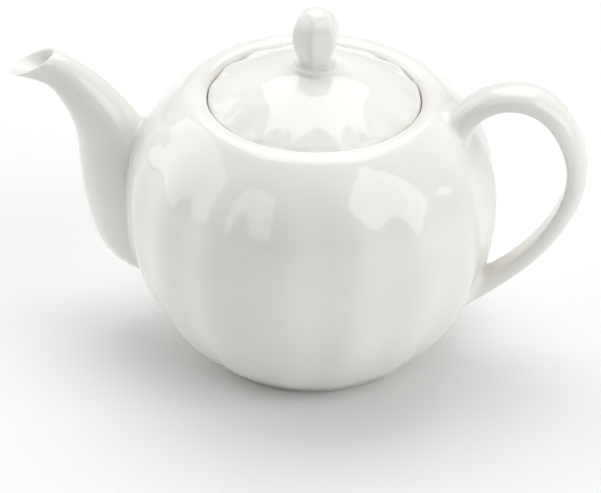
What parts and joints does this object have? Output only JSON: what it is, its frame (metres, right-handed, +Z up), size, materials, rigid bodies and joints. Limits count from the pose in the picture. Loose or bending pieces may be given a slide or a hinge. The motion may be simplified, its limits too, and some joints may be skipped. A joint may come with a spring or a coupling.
{
  "type": "teapot",
  "caption": "Round lobed porcelain teapot with a curved spout, an ear-shaped handle and a lift-off domed lid with a faceted knob.",
  "frame": {"origin": "on the pot's axis, in the plane that the foot ring stands on", "axes": "+Z up along the pot's axis, +X towards the handle, -X towards the spout"},
  "size_m": [0.2212, 0.1412, 0.1442],
  "materials": {
    "glazed_porcelain": "glossy clear glaze",
    "foot_porcelain": "glazed sides, bare matte rim"
  },
  "bodies": {
    "pot": {"pot_base": "glazed_porcelain", "pot_belly": "glazed_porcelain", "pot_shoulder": "glazed_porcelain", "foot_ring": "foot_porcelain", "lid_gallery": "glazed_porcelain", "spout": "glazed_porcelain", "spout_strainer": "glazed_porcelain", "handle": "glazed_porcelain"},
    "lid": {"lid": "glazed_porcelain", "lid_flange": "glazed_porcelain", "lid_lug": "glazed_porcelain", "knob_collar": "glazed_porcelain", "lid_knob": "glazed_porcelain"}
  },
  "joints": [
    {"name": "lid_lift", "type": "slide", "parent": "pot", "child": "lid", "axis": [0, 0, 1], "range_m": [0, 0.06]}
  ]
}
